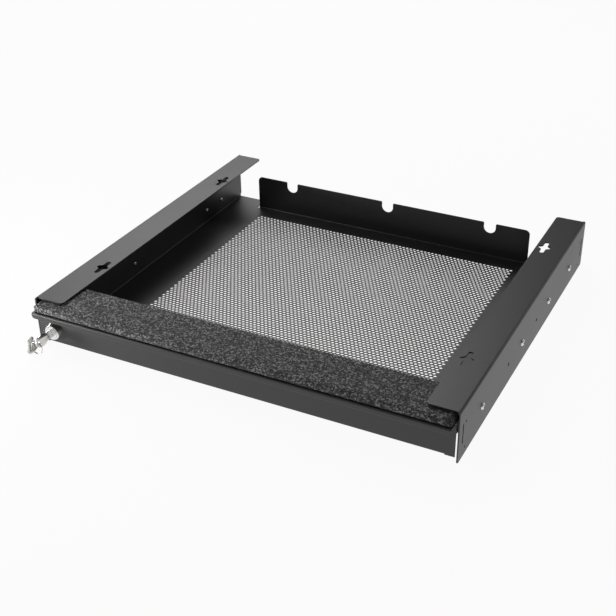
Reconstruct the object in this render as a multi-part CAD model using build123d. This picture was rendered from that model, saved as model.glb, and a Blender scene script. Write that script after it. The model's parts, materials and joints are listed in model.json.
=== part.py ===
from build123d import *
import math
import os

os.makedirs("parts", exist_ok=True)

# Under desk laptop drawer, in millimetres.
# The origin is the middle of the four desk screw positions, on the plane of the flanges' tops.
# X runs across the drawer, +Y to the rear and +Z up.

# Brackets: two L sections of sheet, with the flange turned inwards
overall_width = 500.0
bracket_length = 450.0
bracket_height = 60.0
bracket_sheet = 1.5
bracket_bend = 1.0
flange_edge_margin = 2.3
flange_setback = 2.0
flange_corner = 4.0
wall_corner = 2.0

# Keyholes in the flanges for the desk screws: a cross of two slots with a round eye
desk_screw_spacing = 270.0
desk_screw_inset = 26.5
keyhole_long = 29.0
keyhole_cross = 15.0
keyhole_width = 5.6
keyhole_eye = 11.0

# Openings in the brackets' walls
catch_slot_play = 0.35
catch_slot_length = 24.0
corner_hole_inset = 19.0
corner_hole_diameter = 3.0
corner_hole_rises = (8.0, 39.0)
spare_hole_diameter = 4.5
spare_hole_shares = (0.29625, 0.54625)

# Telescopic ball slides
slide_setback = 32.5
slide_tail_gap = 17.5
slide_bottom_gap = 4.0
slide_top_gap = 1.0
slide_depth = 12.5
outer_sheet = 1.2
middle_sheet = 1.1
inner_sheet = 1.2
ball_diameter = 3.0
ball_play = 0.1
groove_sink = 0.6
cage_sheet = 0.5
cage_play = 0.15
pocket_play = 0.1
cage_end_margin = 5.0
balls_per_row = 4
outer_ball_reach = 1.8
inner_ball_reach = 2.9
flange_past_groove = 0.7
cage_past_ball = 0.3
slide_ease = 0.7
bumper_length = 7.0
bumper_gap = 1.5
bumper_play = 0.3

# Screws: those of the slides through the brackets, and those of the tray into the slides.
# Their places are shares of the slides' length from its front.
bracket_screw_shares = (0.0875, 0.415, 0.66625, 0.88625)
tray_screw_shares = (0.33375, 0.75625, 0.85125)
screw_shank = 4.0
screw_head = 8.0
screw_head_height = 2.5
tray_screw_shank = 3.0
tray_screw_head = 5.0
tray_screw_head_height = 1.6
tray_screw_tail = 0.8
screw_play = 0.05
screw_end_gap = 0.1
head_edge_share = 0.45
small_round_sides = 12
head_crown_share = 0.55

# Tray: folded sheet, shown as its folded panels
tray_sheet = 1.0
tray_bend = 1.0
fold_run = 0.5
floor_rise = 7.9
tray_tail_inset = 24.5
side_front_setback = 35.0
rear_wall_inset = 44.2
rear_wall_desk_gap = 5.5
rear_wall_side_inset = 43.4
rear_wall_corner = 6.0
relief_width = 2.2
relief_depth = 1.4
wing_corner = 2.0

# Cable notches in the rear wall
notch_end_inset = 52.1
notch_width = 15.7
notch_depth = 14.0
notch_ease = 1.5

# Perforation of the floor, coarser than the real one with the same open share
perforation_side_inset = 56.0
perforation_front_inset = 60.0
perforation_rear_inset = 69.0
perforation_pitch = 30.0
open_share = 0.58

# Front panel and the shelf on top of it
panel_lead = 1.0
panel_side_gap = 3.0
shelf_side_step = 1.0
shelf_sheet = 1.0
shelf_overhang = 12.0
shelf_rear_reach = 51.0
lip_height = 7.0
hem_height = 4.0
hem_gap = 0.2
lip_corner = 5.0
ledge_gap = 0.2
ledge_side_step = 3.0
lock_end_reach = 22.0

# Wrist pad: a foam strip with rounded edges
pad_height = 9.0
pad_flange_gap = 1.1
pad_crown = 0.4
pad_edge_inset = 1.5
pad_rear_inset = 2.5
pad_end_inset = 1.0
pad_round = 3.5

# Lock
lock_rise_share = 0.4
lock_head_diameter = 20.0
lock_head_length = 6.0
lock_head_taper = 1.2
lock_barrel_diameter = 16.0
lock_barrel_flats = 14.0
lock_hole_play = 0.2
lock_nut_flats = 21.0
lock_nut_thickness = 3.5
plug_diameter = 12.0
plug_head_diameter = 14.0
plug_head_length = 1.5
plug_proud = 0.3
plug_play = 0.05
plug_floor = 2.5
cam_width = 12.0
cam_thickness = 1.8
cam_barrel_gap = 0.6
cam_shelf_gap = 0.5
cam_square = 6.0
cam_square_play = 0.1
cam_screw_head = 9.0
cam_screw_head_height = 2.4
cam_screw_shank = 3.0
cam_screw_grip = 2.5
keyway_play = 0.1
keyway_floor_gap = 0.5

# Keys and their ring
key_thickness = 2.0
blade_length = 14.0
blade_height = 8.0
blade_cut = 1.8
blade_cuts = 3
blade_tip = 3.0
key_shoulder_gap = 0.2
key_neck_length = 5.0
key_neck_height = 9.6
bow_length = 21.0
bow_height = 15.0
bow_hole_diameter = 5.0
bow_hole_inset = 4.0
ring_radius = 7.4
ring_wire = 0.9
ring_axial = 1.6
ring_seat = 0.9
ring_swing = 24.0
spare_key_ring_angle = 50.0
spare_key_heading = 46.2
spare_key_dip = 9.2
spare_key_roll = 52.0

# Places worked out from the sizes above
wall_outer_x = overall_width / 2
wall_inner_x = wall_outer_x - bracket_sheet
bracket_front_y = -bracket_length / 2
bracket_rear_y = bracket_length / 2
bracket_bottom_z = -bracket_height
flange_width = desk_screw_inset + keyhole_cross / 2 + flange_edge_margin
shelf_top_z = -bracket_sheet - pad_flange_gap - pad_crown - pad_height
shelf_bottom_z = shelf_top_z - shelf_sheet
slide_length = bracket_length - slide_setback - slide_tail_gap
slide_travel = slide_length
slide_front_y = bracket_front_y + slide_setback
slide_rear_y = slide_front_y + slide_length
slide_bottom_z = bracket_bottom_z + slide_bottom_gap
slide_height = shelf_bottom_z - slide_top_gap - slide_bottom_z
slide_axis_z = slide_bottom_z + slide_height / 2
spare_hole_stations = [share * slide_length for share in spare_hole_shares]
bracket_screw_stations = [share * slide_length for share in bracket_screw_shares]
tray_screw_stations = [share * slide_length for share in tray_screw_shares]
side_outer_x = wall_inner_x - slide_depth
side_inner_x = side_outer_x - tray_sheet
floor_bottom_z = bracket_bottom_z + floor_rise
floor_top_z = floor_bottom_z + tray_sheet
fold_reach = tray_bend + tray_sheet + fold_run
panel_front_y = bracket_front_y - panel_lead
panel_back_y = panel_front_y + tray_sheet
panel_half_width = wall_outer_x - panel_side_gap
shelf_half_width = panel_half_width - shelf_side_step
ledge_half_width = shelf_half_width - ledge_side_step
shelf_front_y = panel_front_y - shelf_overhang
shelf_rear_y = panel_front_y + shelf_rear_reach
side_front_y = bracket_front_y + side_front_setback
tray_tail_y = bracket_rear_y - tray_tail_inset
rear_wall_back_y = bracket_rear_y - rear_wall_inset
rear_wall_top_z = -rear_wall_desk_gap
rear_wall_half_width = side_outer_x - rear_wall_side_inset
notch_spacing = rear_wall_half_width - notch_end_inset
perforation_half_width = side_outer_x - perforation_side_inset
perforation_front_y = bracket_front_y + perforation_front_inset
perforation_rear_y = bracket_rear_y - perforation_rear_inset
plug_face_y = panel_front_y - lock_head_length - plug_proud
blade_tip_y = plug_face_y - key_shoulder_gap + blade_length
keyway_end_y = blade_tip_y + keyway_floor_gap
barrel_end_y = keyway_end_y + plug_floor
cam_front_y = barrel_end_y + cam_barrel_gap
cam_back_y = cam_front_y + cam_thickness
lock_z = floor_bottom_z + lock_rise_share * (shelf_bottom_z - floor_bottom_z)
cam_reach = shelf_bottom_z - cam_shelf_gap - lock_z
lock_x = -wall_outer_x + cam_reach
catch_slot_inset = (cam_front_y + cam_back_y) / 2 - bracket_front_y
catch_slot_width = cam_thickness + 2 * catch_slot_play
catch_slot_z = lock_z - cam_width / 2 - cam_shelf_gap + catch_slot_length / 2


def block(x_range, y_range, z_range):
    """Box between two limits on each axis."""
    spans = [x_range, y_range, z_range]
    sizes = [high - low for low, high in spans]
    middles = [(high + low) / 2 for low, high in spans]
    return Pos(*middles) * Box(*sizes)


def along_x(sketch, low, high):
    """Extrudes a sketch drawn in Y and Z from x = low to x = high."""
    return extrude(Plane.YZ.offset(low) * sketch, amount=high - low)


def along_y(sketch, low, high):
    """Extrudes a sketch drawn in X and Z from y = low to y = high."""
    return extrude(Plane.XZ.offset(-high) * sketch, amount=high - low)


def along_z(sketch, low, high):
    """Extrudes a sketch drawn in X and Y from z = low to z = high."""
    return extrude(Plane.XY.offset(low) * sketch, amount=high - low)


def folded_strip(points, bend_radii, sheet):
    """Section of a folded sheet along its middle line, with a bend at each inner point."""
    middle_line = FilletPolyline(*points, radius=bend_radii)
    return trace(middle_line, line_width=sheet)


def shape_at(x, y, shape):
    return Pos(x, y) * shape


def small_round(diameter):
    """Outline of a small hole or shank, with few sides because it repeats."""
    return RegularPolygon(diameter / 2, small_round_sides)


def save(name, solid):
    solid.label = name
    export_step(solid, os.path.join("parts", name + ".step"))


def save_pair(name, left_solid):
    """A left piece and its mirror image on the right."""
    save("left_" + name, left_solid)
    save("right_" + name, mirror(left_solid, about=Plane.YZ))


def both_sides(left_solids):
    """Left solids with their mirror images, as one group."""
    return Compound(children=left_solids + [mirror(solid, about=Plane.YZ) for solid in left_solids])


# Brackets
def keyhole():
    """Cross-shaped keyhole around its own centre."""
    long_slot = SlotOverall(keyhole_long, keyhole_width, rotation=90)
    cross_slot = SlotOverall(keyhole_cross, keyhole_width)
    return long_slot + cross_slot + Circle(keyhole_eye / 2)


def bracket():
    """Left bracket: wall, bend and flange, with all its openings."""
    wall_middle_x = -wall_outer_x + bracket_sheet / 2
    flange_middle_z = -bracket_sheet / 2
    flange_tip_x = -wall_outer_x + flange_width
    section = folded_strip(
        [
            (wall_middle_x, bracket_bottom_z),
            (wall_middle_x, flange_middle_z),
            (flange_tip_x, flange_middle_z),
        ],
        bracket_bend + bracket_sheet / 2,
        bracket_sheet,
    )
    solid = along_y(section, bracket_front_y, bracket_rear_y)
    bend_end_x = -wall_outer_x + bracket_sheet + bracket_bend
    flange_depth = wall_outer_x
    flange_outline = RectangleRounded(
        2 * (flange_tip_x - bend_end_x), bracket_length - 2 * flange_setback, flange_corner
    )
    flange_zone = along_z(
        shape_at(bend_end_x + flange_depth / 2, 0, Rectangle(flange_depth, 2 * bracket_length)),
        -bracket_sheet - bracket_bend / 2,
        bracket_sheet,
    )
    kept_flange = along_z(shape_at(bend_end_x, 0, flange_outline), -bracket_sheet, 0)
    solid = solid - (flange_zone - kept_flange)
    for side in (-1, 1):
        hole = shape_at(-wall_outer_x + desk_screw_inset, side * desk_screw_spacing / 2, keyhole())
        solid -= along_z(hole, -2 * bracket_sheet, bracket_sheet)
    return solid - bracket_wall_cuts()


def bracket_wall_cuts():
    """Openings through the left wall, drawn in Y and Z."""
    cuts = []
    for side in (-1, 1):
        slot_y = side * (bracket_length / 2 - catch_slot_inset)
        cuts.append(
            shape_at(slot_y, catch_slot_z, SlotOverall(catch_slot_length, catch_slot_width, rotation=90))
        )
        hole_y = side * (bracket_length / 2 - corner_hole_inset)
        for rise in corner_hole_rises:
            cuts.append(shape_at(hole_y, bracket_bottom_z + rise, small_round(corner_hole_diameter)))
        end_y = side * bracket_length / 2
        corner = shape_at(end_y, bracket_bottom_z, Rectangle(2 * wall_corner, 2 * wall_corner))
        round_y = end_y - side * wall_corner
        cuts.append(corner - shape_at(round_y, bracket_bottom_z + wall_corner, Circle(wall_corner)))
    for station in spare_hole_stations:
        cuts.append(shape_at(slide_front_y + station, slide_axis_z, small_round(spare_hole_diameter)))
    for station in bracket_screw_stations:
        hole = small_round(screw_shank + 2 * screw_play)
        cuts.append(shape_at(slide_front_y + station, slide_axis_z, hole))
    outside = -wall_outer_x - bracket_sheet
    inside = -wall_inner_x + bracket_sheet / 2
    return [along_x(cut, outside, inside) for cut in cuts]


# Slides: u runs from the bracket's inner face towards the tray, v up from the slide's axis
ball_radius = ball_diameter / 2
groove_radius = ball_radius + ball_play
middle_web_u = outer_sheet + cage_sheet + 2 * cage_play
inner_web_u = slide_depth - inner_sheet
outer_ball_u = middle_web_u + middle_sheet + outer_ball_reach
inner_ball_u = inner_web_u - inner_ball_reach
outer_ball_v = slide_height / 2 - outer_sheet - groove_radius
ball_gap = 2 * (groove_radius - groove_sink)
inner_ball_v = outer_ball_v - ball_gap - middle_sheet
member_length = slide_length - bumper_length - bumper_gap
cage_length = member_length - slide_travel / 2 - 2 * cage_end_margin
member_middle_y = slide_front_y + member_length / 2


def span(u_low, u_high, v_low, v_high):
    return shape_at((u_low + u_high) / 2, (v_low + v_high) / 2, Rectangle(u_high - u_low, v_high - v_low))


def grooved_strip(u_low, u_high, v_low, v_high, grooves, sheet):
    """Flange strip with ball grooves pressed into it: each groove is (u, v) of the ball's centre."""
    strip = span(u_low, u_high, v_low, v_high)
    for u, v in grooves:
        bulge = shape_at(u, v, Circle(groove_radius + sheet))
        reach = groove_radius + 2 * sheet
        above_ball = v < v_low
        half = span(u - reach, u + reach, v_low, v + reach) if above_ball else span(
            u - reach, u + reach, v - reach, v_high
        )
        strip = strip + (bulge & half)
    for u, v in grooves:
        strip = strip - shape_at(u, v, Circle(groove_radius))
    return strip


def channel(web_low, web_high, upper_strip, strip_top):
    """C section: a web and an upper strip mirrored below, with the web's back corners eased."""
    upper = span(web_low, web_high, 0, strip_top) + upper_strip
    section = upper + mirror(upper, about=Plane.XZ)
    back_is_low = upper_strip.bounding_box().max.X > web_high
    corners = section.vertices().group_by(Axis.X)[0 if back_is_low else -1]
    return chamfer(corners, slide_ease)


def slide_solid(section, y_low, y_high):
    """Left slide piece from its section in u and v."""
    placed = Pos(-wall_inner_x, 0, slide_axis_z) * along_y(section, y_low, y_high)
    return placed


def outer_slide():
    strip_low = outer_ball_v + ball_gap / 2
    strip_top = strip_low + outer_sheet
    tip_u = outer_ball_u + groove_radius + flange_past_groove
    strip = grooved_strip(0, tip_u, strip_low, strip_top, [(outer_ball_u, outer_ball_v)], outer_sheet)
    solid = slide_solid(channel(0, outer_sheet, strip, strip_top), slide_front_y, slide_rear_y)
    hole = small_round(screw_shank + 2 * screw_play)
    for station in bracket_screw_stations:
        place = shape_at(slide_front_y + station, slide_axis_z, hole)
        solid -= along_x(place, -wall_outer_x, -wall_inner_x + 2 * outer_sheet)
    return solid


def middle_slide():
    strip_top = outer_ball_v - ball_gap / 2
    strip_low = strip_top - middle_sheet
    tip_u = inner_ball_u + groove_radius + flange_past_groove
    grooves = [(outer_ball_u, outer_ball_v), (inner_ball_u, inner_ball_v)]
    strip = grooved_strip(middle_web_u, tip_u, strip_low, strip_top, grooves, middle_sheet)
    section = channel(middle_web_u, middle_web_u + middle_sheet, strip, strip_top)
    return slide_solid(section, slide_front_y, slide_front_y + member_length)


def inner_slide():
    strip_top = inner_ball_v - ball_gap / 2
    strip_low = strip_top - inner_sheet
    tip_u = inner_ball_u - groove_radius - flange_past_groove
    strip = grooved_strip(
        tip_u, slide_depth, strip_low, strip_top, [(inner_ball_u, inner_ball_v)], inner_sheet
    )
    section = channel(inner_web_u, slide_depth, strip, strip_top)
    solid = slide_solid(section, slide_front_y, slide_front_y + member_length)
    hole = small_round(tray_screw_shank + 2 * screw_play)
    for station in tray_screw_stations:
        place = shape_at(slide_front_y + station, slide_axis_z, hole)
        solid -= along_x(place, -wall_inner_x + inner_web_u - inner_sheet, -side_inner_x)
    return solid


def ball_stations():
    """Places of the balls along a cage."""
    first = member_middle_y - cage_length / 2 + 2 * ball_diameter
    last = member_middle_y + cage_length / 2 - 2 * ball_diameter
    step = (last - first) / (balls_per_row - 1)
    return [first + step * number for number in range(balls_per_row)]


def ball_cage(web_u, ball_u, ball_v):
    """C-shaped cage whose flanges run at the height of the balls and hold them in pockets."""
    tip_u = ball_u + ball_radius + pocket_play + cage_past_ball
    top = ball_v + cage_sheet / 2
    section = span(web_u, web_u + cage_sheet, -top, top)
    for side in (-1, 1):
        middle_v = side * ball_v
        section = section + span(web_u, tip_u, middle_v - cage_sheet / 2, middle_v + cage_sheet / 2)
    low_y = member_middle_y - cage_length / 2
    solid = slide_solid(section, low_y, low_y + cage_length)
    half = ball_radius + pocket_play
    for y in ball_stations():
        pocket = span(ball_u - half, ball_u + half, -top - cage_sheet, top + cage_sheet)
        solid -= slide_solid(pocket, y - half, y + half)
    return solid


def faceted_ball(x, y, z):
    """Ball with few faces, its corners on the ball's radius."""
    sides = 8
    points = [(x, y, z - ball_radius), (x, y, z + ball_radius)]
    for latitude in (-45, 0, 45):
        ring = ball_radius * math.cos(math.radians(latitude))
        rise = ball_radius * math.sin(math.radians(latitude))
        for number in range(sides):
            angle = 2 * math.pi * number / sides
            points.append((x + ring * math.cos(angle), y + ring * math.sin(angle), z + rise))
    return ConvexPolyhedron(points)


def ball_rows(ball_u, ball_v):
    """Balls of both slides, above and below."""
    x = -wall_inner_x + ball_u
    rows = [slide_axis_z - ball_v, slide_axis_z + ball_v]
    return both_sides([faceted_ball(x, y, z) for z in rows for y in ball_stations()])


def slide_bumper():
    """Rubber stop in the rear end of the outer member."""
    strip_low = outer_ball_v + ball_gap / 2
    low_u = outer_sheet
    high_u = outer_ball_u - groove_radius
    section = span(low_u, high_u, -strip_low + bumper_play, strip_low - bumper_play)
    section = chamfer(section.vertices(), slide_ease)
    return slide_solid(section, slide_rear_y - bumper_length, slide_rear_y)


# Screws
def pan_screw(head, head_height, shank, shank_length, direction):
    """Pan head screw: the head's seat is at the origin and the shank runs along the direction."""
    edge_height = head_height * head_edge_share
    seat = Plane((0, 0, 0), z_dir=direction)
    crown = loft(
        [
            seat.offset(-edge_height) * small_round(head),
            seat.offset(-head_height) * small_round(head * head_crown_share),
        ],
        ruled=True,
    )
    rim = extrude(seat * small_round(head), amount=-edge_height)
    return crown + rim + extrude(seat * small_round(shank), amount=shank_length)


def bracket_screws():
    length = bracket_sheet + outer_sheet - screw_end_gap
    screw = pan_screw(screw_head, screw_head_height, screw_shank, length, (1, 0, 0))
    places = [Pos(-wall_outer_x, slide_front_y + station, slide_axis_z) for station in bracket_screw_stations]
    return both_sides([place * screw for place in places])


def tray_screws():
    length = tray_sheet + inner_sheet + tray_screw_tail
    screw = pan_screw(tray_screw_head, tray_screw_head_height, tray_screw_shank, length, (-1, 0, 0))
    places = [Pos(-side_inner_x, slide_front_y + station, slide_axis_z) for station in tray_screw_stations]
    return both_sides([place * screw for place in places])


# Tray
floor_half_width = side_outer_x - fold_reach
floor_front_y = panel_front_y + fold_reach
floor_rear_y = rear_wall_back_y - fold_reach


def hexagon_centres():
    """Centres of the perforation's staggered rows, centred in its field."""
    row_step = perforation_pitch * math.sqrt(3) / 2
    depth = perforation_rear_y - perforation_front_y - perforation_pitch
    rows = int(depth / row_step) + 1
    columns = int((2 * perforation_half_width - perforation_pitch) / perforation_pitch) + 1
    middle_y = (perforation_front_y + perforation_rear_y) / 2
    centres = []
    for row in range(rows):
        y = middle_y + (row - (rows - 1) / 2) * row_step
        count = columns - row % 2
        for column in range(count):
            centres.append(((column - (count - 1) / 2) * perforation_pitch, y))
    return centres


def tray_floor():
    """Floor sheet with two wings beside the rear wall, relief notches and the perforation."""
    wing_inner_x = rear_wall_half_width + relief_width
    outline = shape_at(
        0,
        (floor_front_y + tray_tail_y) / 2,
        Rectangle(2 * floor_half_width, tray_tail_y - floor_front_y),
    )
    behind = shape_at(
        0,
        (floor_rear_y + tray_tail_y) / 2 + wing_corner,
        RectangleRounded(2 * wing_inner_x, tray_tail_y - floor_rear_y + 2 * wing_corner, wing_corner),
    )
    bridge = shape_at(
        0,
        floor_rear_y + wing_corner,
        Rectangle(2 * rear_wall_half_width, 2 * wing_corner),
    )
    outline = outline - behind - bridge
    for side in (-1, 1):
        relief = Rectangle(relief_width, 2 * relief_depth)
        place = shape_at(side * (rear_wall_half_width + relief_width / 2), floor_rear_y, relief)
        outline = outline - place
    hexagon_flats = perforation_pitch * math.sqrt(open_share)
    outer_wire = outline.face().outer_wire()
    holes = []
    for x, y in hexagon_centres():
        hexagon = RegularPolygon(hexagon_flats / 2, 6, major_radius=False, rotation=30)
        holes.append((Pos(x, y) * hexagon).face().outer_wire())
    return along_z(Sketch() + Face(outer_wire, holes), floor_bottom_z, floor_top_z)


def tray_side():
    """Left side wall with its fold into the floor."""
    middle_x = -side_outer_x + tray_sheet / 2
    middle_z = floor_bottom_z + tray_sheet / 2
    section = folded_strip(
        [(middle_x, shelf_bottom_z), (middle_x, middle_z), (-floor_half_width, middle_z)],
        tray_bend + tray_sheet / 2,
        tray_sheet,
    )
    solid = along_y(section, side_front_y, tray_tail_y)
    hole = small_round(tray_screw_shank + 2 * screw_play)
    for station in tray_screw_stations:
        place = shape_at(slide_front_y + station, slide_axis_z, hole)
        solid -= along_x(place, -side_outer_x - tray_sheet, -side_inner_x + tray_sheet)
    return solid


def floor_edge_strip():
    """Left strip of the floor's edge ahead of the side wall."""
    return block(
        (-side_outer_x, -floor_half_width), (floor_front_y, side_front_y), (floor_bottom_z, floor_top_z)
    )


def rear_wall():
    """Rear wall with its fold into the floor, rounded top corners and three cable notches."""
    middle_y = rear_wall_back_y - tray_sheet / 2
    middle_z = floor_bottom_z + tray_sheet / 2
    section = folded_strip(
        [(floor_rear_y, middle_z), (middle_y, middle_z), (middle_y, rear_wall_top_z)],
        tray_bend + tray_sheet / 2,
        tray_sheet,
    )
    solid = along_x(section, -rear_wall_half_width, rear_wall_half_width)
    corner = rear_wall_corner
    cuts = []
    for side in (-1, 1):
        x = side * rear_wall_half_width
        square = shape_at(x, rear_wall_top_z, Rectangle(2 * corner, 2 * corner))
        cuts.append(square - shape_at(x - side * corner, rear_wall_top_z - corner, Circle(corner)))
    for number in (-1, 0, 1):
        cuts.append(shape_at(number * notch_spacing, rear_wall_top_z, cable_notch()))
    reach = tray_sheet + tray_bend
    for cut in cuts:
        solid -= along_y(cut, rear_wall_back_y - reach, rear_wall_back_y + reach)
    return solid


def cable_notch():
    """U-shaped notch below its own origin, with eased top corners."""
    half = notch_width / 2
    straight = notch_depth - half
    slot = shape_at(0, -straight / 2 + half, Rectangle(notch_width, straight + notch_width))
    slot = slot + shape_at(0, -straight, Circle(half))
    for side in (-1, 1):
        x = side * (half + notch_ease)
        square = shape_at(side * half, 0, Rectangle(2 * notch_ease, 2 * notch_ease))
        slot = slot + (square - shape_at(x, -notch_ease, Circle(notch_ease)))
    return slot


# Front panel and shelf
def front_panel():
    """Panel folded up from the floor, with a ledge folded forward under the shelf."""
    middle_y = panel_front_y + tray_sheet / 2
    floor_middle_z = floor_bottom_z + tray_sheet / 2
    ledge_middle_z = shelf_bottom_z - tray_sheet / 2
    ledge_tip_y = shelf_front_y + shelf_sheet + tray_bend + ledge_gap
    bend = tray_bend + tray_sheet / 2
    section = folded_strip(
        [
            (floor_front_y, floor_middle_z),
            (middle_y, floor_middle_z),
            (middle_y, ledge_middle_z),
            (ledge_tip_y, ledge_middle_z),
        ],
        bend,
        tray_sheet,
    )
    solid = along_x(section, -side_outer_x, side_outer_x)
    fold_top_z = floor_bottom_z + tray_sheet + tray_bend
    for side in (-1, 1):
        ends = sorted([side * (side_outer_x + fold_run), side * panel_half_width])
        solid += block(ends, (panel_front_y, panel_back_y), (floor_bottom_z, shelf_bottom_z - fold_reach))
        joined = sorted([side * (side_outer_x - fold_run), side * panel_half_width])
        solid += block(joined, (panel_front_y, panel_back_y), (fold_top_z, shelf_bottom_z - fold_reach))
        ledge_ends = sorted([side * (side_outer_x - fold_run), side * ledge_half_width])
        solid += along_x(section, *ledge_ends) & block(
            (-overall_width, overall_width),
            (shelf_front_y, panel_back_y),
            (shelf_bottom_z - fold_reach, shelf_bottom_z),
        )
    return solid - lock_hole()


def lock_end_zone():
    """Space that holds the panel's left end, up to the plane that divides it from the rest."""
    return block(
        (-overall_width, lock_x + lock_end_reach),
        (-bracket_length, bracket_length),
        (-2 * bracket_height, bracket_height),
    )


def lock_hole():
    """Round hole with two flats for the lock's barrel."""
    outline = barrel_outline(lock_hole_play)
    return along_y(outline, panel_front_y - tray_sheet, panel_back_y + tray_sheet)


def barrel_outline(play):
    flats = lock_barrel_flats + 2 * play
    round_part = Circle(lock_barrel_diameter / 2 + play)
    return shape_at(lock_x, lock_z, round_part & Rectangle(2 * lock_barrel_diameter, flats))


def shelf():
    """Shelf with a lip turned down at the front and hemmed inwards."""
    middle_z = shelf_top_z - shelf_sheet / 2
    lip_middle_y = shelf_front_y + shelf_sheet / 2
    lip_bottom_z = shelf_top_z - lip_height
    turn_z = lip_bottom_z + shelf_sheet / 2
    hem_middle_y = lip_middle_y + shelf_sheet + hem_gap
    section = folded_strip(
        [(shelf_rear_y, middle_z), (lip_middle_y, middle_z), (lip_middle_y, turn_z)],
        tray_bend + shelf_sheet / 2,
        shelf_sheet,
    )
    hem = span(
        hem_middle_y - shelf_sheet / 2,
        hem_middle_y + shelf_sheet / 2,
        turn_z,
        lip_bottom_z + hem_height,
    )
    turn_radius = shelf_sheet + hem_gap / 2
    turn_y = (lip_middle_y + hem_middle_y) / 2
    turn_disc = shape_at(turn_y, lip_bottom_z + turn_radius, Circle(turn_radius))
    below = span(turn_y - turn_radius, turn_y + turn_radius, lip_bottom_z, lip_bottom_z + turn_radius)
    gap = span(turn_y - hem_gap / 2, turn_y + hem_gap / 2, lip_bottom_z + shelf_sheet, shelf_bottom_z)
    lower_trim = span(
        shelf_front_y - shelf_sheet,
        turn_y + 2 * turn_radius,
        lip_bottom_z - shelf_sheet,
        lip_bottom_z + turn_radius,
    )
    section = (section + hem - lower_trim) + (turn_disc & below) - gap
    solid = along_x(section, -shelf_half_width, shelf_half_width)
    for side in (-1, 1):
        x = side * shelf_half_width
        square = shape_at(x, lip_bottom_z, Rectangle(2 * lip_corner, 2 * lip_corner))
        round_centre = Circle(lip_corner)
        cut = square - shape_at(x - side * lip_corner, lip_bottom_z + lip_corner, round_centre)
        solid -= along_y(cut, shelf_front_y - shelf_sheet, shelf_front_y + 2 * lip_corner)
    return solid


def wrist_pad():
    """Foam strip, a little crowned, with its upper edges rounded."""
    front = shelf_front_y + pad_edge_inset
    rear = shelf_rear_y - pad_rear_inset
    edge_z = shelf_top_z + pad_height
    crown = ThreePointArc((rear, edge_z), ((front + rear) / 2, edge_z + pad_crown), (front, edge_z))
    sides = Polyline((front, edge_z), (front, shelf_top_z), (rear, shelf_top_z), (rear, edge_z))
    half = shelf_half_width - pad_end_inset
    solid = along_x(make_face(crown + sides), -half, half)
    upright = solid.edges().filter_by(Axis.Z)
    solid = fillet(upright, pad_round)
    upper = solid.edges().filter_by(lambda edge: edge.center().Z > edge_z - pad_crown)
    return fillet(upper, pad_round)


# Lock
def lock_housing():
    """Lock head in front of the panel and barrel through it, bored for the plug."""
    head_radius = lock_head_diameter / 2
    head_outline = Polyline(
        (0, 0),
        (head_radius, 0),
        (head_radius - lock_head_taper, lock_head_length),
        (0, lock_head_length),
        close=True,
    )
    head = Rot(X=90) * revolve(Plane.XZ * make_face(head_outline), axis=Axis.Z)
    barrel = along_y(barrel_outline(0), panel_front_y, barrel_end_y)
    solid = Pos(lock_x, panel_front_y, lock_z) * head + barrel
    bore = shape_at(lock_x, lock_z, Circle(plug_diameter / 2 + plug_play))
    wide = shape_at(lock_x, lock_z, Circle(plug_head_diameter / 2 + plug_play))
    head_face_y = panel_front_y - lock_head_length
    solid -= along_y(bore, head_face_y - plug_proud, barrel_end_y + plug_proud)
    solid -= along_y(wide, head_face_y - plug_proud, head_face_y + plug_head_length)
    return solid


def lock_nut():
    """Hexagon nut on the barrel, against the back of the panel."""
    hexagon = RegularPolygon(lock_nut_flats / 2, 6, major_radius=False, rotation=30)
    outline = shape_at(lock_x, lock_z, hexagon - Circle(lock_barrel_diameter / 2 + lock_hole_play))
    return along_y(outline, panel_back_y, panel_back_y + lock_nut_thickness)


def lock_plug():
    """Plug with a keyway in its face and a square stub for the cam."""
    head_back_y = panel_front_y - lock_head_length + plug_head_length - plug_play
    solid = along_y(shape_at(lock_x, lock_z, Circle(plug_head_diameter / 2)), plug_face_y, head_back_y)
    solid += along_y(shape_at(lock_x, lock_z, Circle(plug_diameter / 2)), head_back_y, cam_front_y)
    solid += along_y(shape_at(lock_x, lock_z, Rectangle(cam_square, cam_square)), cam_front_y, cam_back_y)
    slot = Rectangle(key_thickness + 2 * keyway_play, blade_height + 2 * keyway_play)
    solid -= along_y(shape_at(lock_x, lock_z, slot), plug_face_y - plug_proud, keyway_end_y)
    screw_bore = small_round(cam_screw_shank + 2 * screw_play)
    low = cam_back_y - cam_screw_grip - cam_thickness - screw_end_gap
    solid -= along_y(shape_at(lock_x, lock_z, screw_bore), low, cam_back_y + cam_thickness)
    return solid


def lock_cam():
    """Flat cam pointing up when unlocked, with a round tip."""
    tip_radius = cam_width / 2
    bar_top = cam_reach - tip_radius
    outline = shape_at(0, bar_top / 2, Rectangle(cam_width, bar_top))
    outline = outline + Circle(tip_radius) + shape_at(0, bar_top, Circle(tip_radius))
    side = cam_square + 2 * cam_square_play
    outline = outline - Rectangle(side, side)
    return along_y(shape_at(lock_x, lock_z, outline), cam_front_y, cam_back_y)


def cam_screw():
    length = cam_thickness + cam_screw_grip
    screw = pan_screw(cam_screw_head, cam_screw_head_height, cam_screw_shank, length, (0, -1, 0))
    return Pos(lock_x, cam_back_y, lock_z) * screw


# Keys: drawn around the bow's hole, with the blade along +Y and the bow upright
hole_to_bow_end = bow_length - bow_hole_inset
hole_to_shoulder = hole_to_bow_end + key_neck_length
hole_to_tip = hole_to_shoulder + blade_length


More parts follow.
